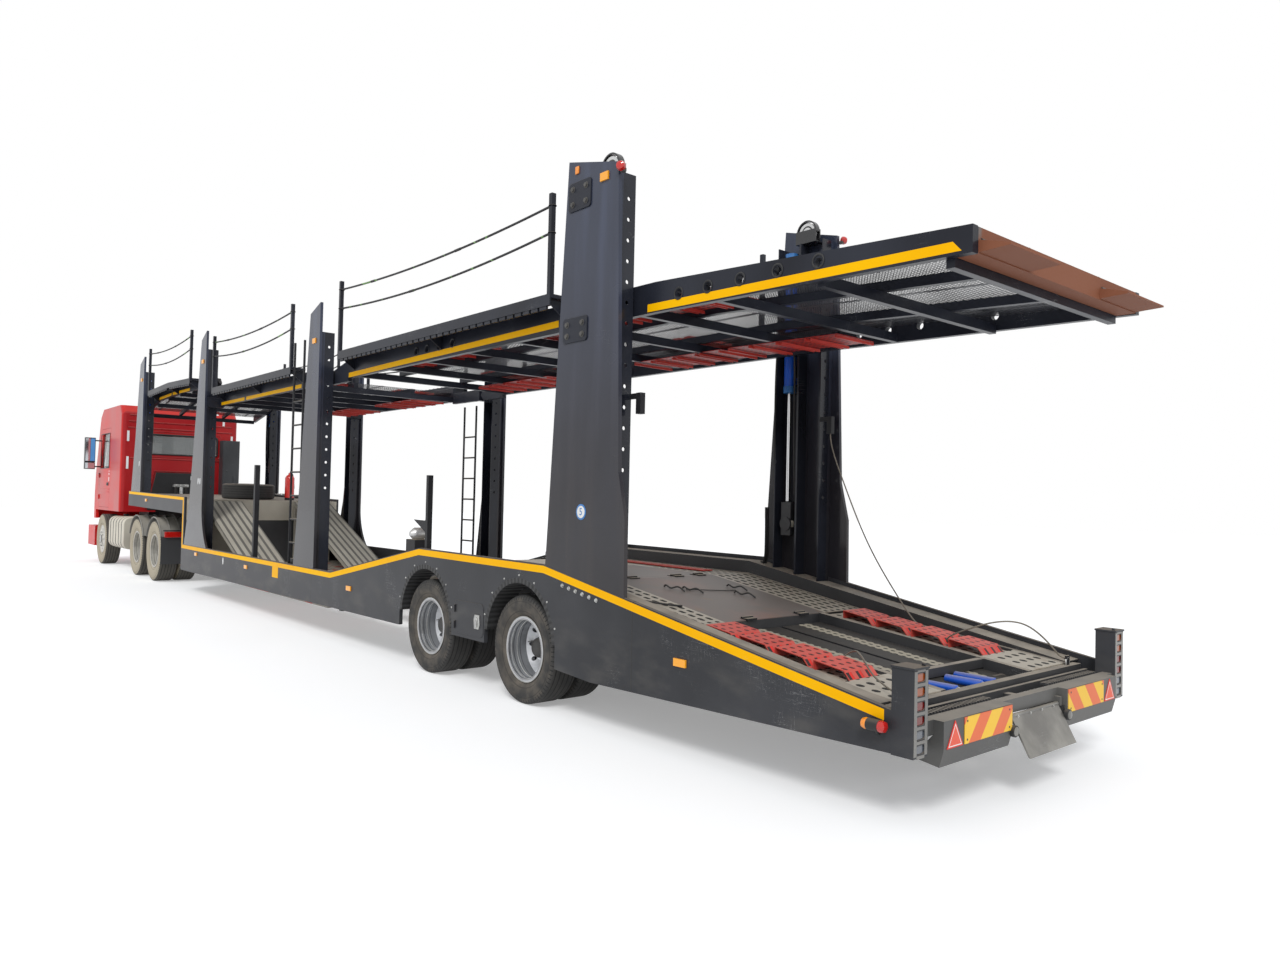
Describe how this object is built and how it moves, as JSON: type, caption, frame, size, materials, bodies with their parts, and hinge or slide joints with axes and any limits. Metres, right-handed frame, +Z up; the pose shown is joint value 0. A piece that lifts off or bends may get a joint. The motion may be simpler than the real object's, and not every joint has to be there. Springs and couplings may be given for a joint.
{
  "type": "car transporter truck",
  "caption": "Articulated car transporter: a three-axle tractor with tilting cab hinged to a two-deck semitrailer with paired posts and tilting upper decks.",
  "frame": {"origin": "on the ground under the middle of the whole lorry", "axes": "+X forward along the lorry, +Y to its left, +Z up"},
  "size_m": [21.85, 3, 4.2537],
  "materials": {
    "trailer_paint": "dark grey-blue satin paint",
    "frame_black": "satin black paint, dusty",
    "deck_steel": "dusty beige perforated steel",
    "red_tread": "red primer on perforated treads",
    "lamp_lens": "clear tinted lens",
    "grey_paint": "grey paint",
    "blue_paint": "blue gloss paint",
    "chrome_rod": "hard chrome",
    "tyre": "dusty black rubber",
    "rubber": "ribbed black rubber",
    "cast_steel": "painted casting",
    "grey_plastic": "textured grey plastic",
    "tank_alloy": "dusty alloy",
    "cab_red": "gloss red paint",
    "wire_rope": "greased wire rope",
    "black_rope": "rope in a black sleeve",
    "glass": "tinted glass",
    "trim_fabric": "grey woven cloth"
  },
  "bodies": {
    "trailer": {"side_frames": "trailer_paint", "mudguard_rims": "rubber", "rear_deck_frame": "frame_black", "rear_deck_plates": "deck_steel", "red_treads": "red_tread", "rear_bumper": "frame_black", "lamp_posts": "trailer_paint", "signal_lamps": "lamp_lens", "stored_ramps": "frame_black", "well_floor": "deck_steel", "well_ramps": "deck_steel", "gooseneck": "deck_steel", "landing_legs": "grey_paint", "trailer_axles": "frame_black", "posts": "trailer_paint", "lift_cylinders": "blue_paint", "upper_deck_middle": "trailer_paint", "deck_panels_middle": "red_tread", "spare_wheel": "tyre", "trailer_fittings": "frame_black", "rope_right": "wire_rope", "rope_left": "wire_rope", "hand_ropes_middle": "black_rope"},
    "tail_flap": {"tail_flap": "frame_black"},
    "upper_deck_rear": {"upper_deck_rear": "trailer_paint", "deck_panels_rear": "red_tread", "hand_ropes_rear": "black_rope"},
    "upper_deck_front": {"upper_deck_front": "trailer_paint", "deck_panels_front": "red_tread", "hand_ropes_front": "black_rope"},
    "lift_rods_front": {"lift_rods_front": "chrome_rod"},
    "lift_rods_rear": {"lift_rods_rear": "chrome_rod"},
    "tractor": {"tractor_chassis": "frame_black", "fifth_wheel": "cast_steel", "drive_axles": "cast_steel", "drive_mudguards": "grey_plastic", "fuel_tank": "tank_alloy", "side_locker": "grey_plastic", "front_bumper": "cab_red", "engine_block": "cast_steel", "front_axle": "cast_steel"},
    "cab": {"cab_shell": "cab_red", "cab_glass": "glass", "cab_front": "grey_plastic", "cab_interior": "trim_fabric", "air_intake": "grey_plastic"},
    "door_left": {"door_left": "cab_red"},
    "door_right": {"door_right": "cab_red"},
    "knuckle_left": {"knuckle_left": "cast_steel"},
    "knuckle_right": {"knuckle_right": "cast_steel"},
    "steer_wheel_left": {"steer_wheel_left": "tyre"},
    "steer_wheel_right": {"steer_wheel_right": "tyre"},
    "trailer_wheels_rear_left": {"trailer_wheels_rear_left": "tyre"},
    "trailer_wheels_front_left": {"trailer_wheels_front_left": "tyre"},
    "drive_wheels_rear_left": {"drive_wheels_rear_left": "tyre"},
    "drive_wheels_front_left": {"drive_wheels_front_left": "tyre"},
    "trailer_wheels_rear_right": {"trailer_wheels_rear_right": "tyre"},
    "trailer_wheels_front_right": {"trailer_wheels_front_right": "tyre"},
    "drive_wheels_rear_right": {"drive_wheels_rear_right": "tyre"},
    "drive_wheels_front_right": {"drive_wheels_front_right": "tyre"}
  },
  "joints": [
    {"name": "kingpin", "type": "hinge", "parent": "trailer", "child": "tractor", "pos_m": [5.571, 0, 1.255], "axis": [0, 0, 1], "range_deg": [-70, 70]},
    {"name": "tail_flap_hinge", "type": "hinge", "parent": "trailer", "child": "tail_flap", "pos_m": [-10.595, 0, 0.462], "axis": [0, 1, 0], "range_deg": [0, 75]},
    {"name": "rear_deck_tilt", "type": "hinge", "parent": "trailer", "child": "upper_deck_rear", "pos_m": [-2.605, 0, 3], "axis": [0, -1, 0], "range_deg": [-5, 12]},
    {"name": "front_deck_tilt", "type": "hinge", "parent": "trailer", "child": "upper_deck_front", "pos_m": [1.96, 0, 3.33], "axis": [0, 1, 0], "range_deg": [-4, 8]},
    {"name": "rear_lift", "type": "slide", "parent": "trailer", "child": "lift_rods_rear", "axis": [0, 0, 1], "range_m": [-0.245, 0.58]},
    {"name": "front_lift", "type": "slide", "parent": "trailer", "child": "lift_rods_front", "axis": [0, 0, 1], "range_m": [-0.145, 0.29]},
    {"name": "cab_tilt", "type": "hinge", "parent": "tractor", "child": "cab", "pos_m": [10.765, 0, 0.93], "axis": [0, 1, 0], "range_deg": [0, 55]},
    {"name": "door_left_hinge", "type": "hinge", "parent": "cab", "child": "door_left", "pos_m": [10.3475, 1.162, 1.8], "axis": [0, 0, -1], "range_deg": [0, 70]},
    {"name": "steering_left", "type": "hinge", "parent": "tractor", "child": "knuckle_left", "pos_m": [9.485, 0.88, 0.5], "axis": [0, 0, 1], "range_deg": [-35, 35]},
    {"name": "steer_wheel_left_spin", "type": "hinge", "parent": "knuckle_left", "child": "steer_wheel_left", "pos_m": [9.485, 1.084, 0.54], "axis": [0, 1, 0], "continuous": true},
    {"name": "trailer_wheels_rear_left_spin", "type": "hinge", "parent": "trailer", "child": "trailer_wheels_rear_left", "pos_m": [-7.04, 0.95, 0.43], "axis": [0, 1, 0], "continuous": true},
    {"name": "trailer_wheels_front_left_spin", "type": "hinge", "parent": "trailer", "child": "trailer_wheels_front_left", "pos_m": [-5.478, 0.95, 0.43], "axis": [0, 1, 0], "continuous": true},
    {"name": "drive_wheels_rear_left_spin", "type": "hinge", "parent": "tractor", "child": "drive_wheels_rear_left", "pos_m": [4.8965, 0.917, 0.54], "axis": [0, 1, 0], "continuous": true},
    {"name": "drive_wheels_front_left_spin", "type": "hinge", "parent": "tractor", "child": "drive_wheels_front_left", "pos_m": [6.2455, 0.917, 0.54], "axis": [0, 1, 0], "continuous": true},
    {"name": "door_right_hinge", "type": "hinge", "parent": "cab", "child": "door_right", "pos_m": [10.3475, -1.162, 1.8], "axis": [0, 0, 1], "range_deg": [0, 70]},
    {"name": "steering_right", "type": "hinge", "parent": "tractor", "child": "knuckle_right", "pos_m": [9.485, -0.88, 0.5], "axis": [0, 0, 1], "range_deg": [-35, 35]},
    {"name": "steer_wheel_right_spin", "type": "hinge", "parent": "knuckle_right", "child": "steer_wheel_right", "pos_m": [9.485, -1.084, 0.54], "axis": [0, 1, 0], "continuous": true},
    {"name": "trailer_wheels_rear_right_spin", "type": "hinge", "parent": "trailer", "child": "trailer_wheels_rear_right", "pos_m": [-7.04, -0.95, 0.43], "axis": [0, 1, 0], "continuous": true},
    {"name": "trailer_wheels_front_right_spin", "type": "hinge", "parent": "trailer", "child": "trailer_wheels_front_right", "pos_m": [-5.478, -0.95, 0.43], "axis": [0, 1, 0], "continuous": true},
    {"name": "drive_wheels_rear_right_spin", "type": "hinge", "parent": "tractor", "child": "drive_wheels_rear_right", "pos_m": [4.8965, -0.917, 0.54], "axis": [0, 1, 0], "continuous": true},
    {"name": "drive_wheels_front_right_spin", "type": "hinge", "parent": "tractor", "child": "drive_wheels_front_right", "pos_m": [6.2455, -0.917, 0.54], "axis": [0, 1, 0], "continuous": true}
  ],
  "couplings": [
    {"joint": "rear_lift", "follows": "rear_deck_tilt", "m_per_rad": 2.6},
    {"joint": "front_lift", "follows": "front_deck_tilt", "m_per_rad": 2},
    {"joint": "steering_right", "follows": "steering_left", "ratio": 1}
  ]
}
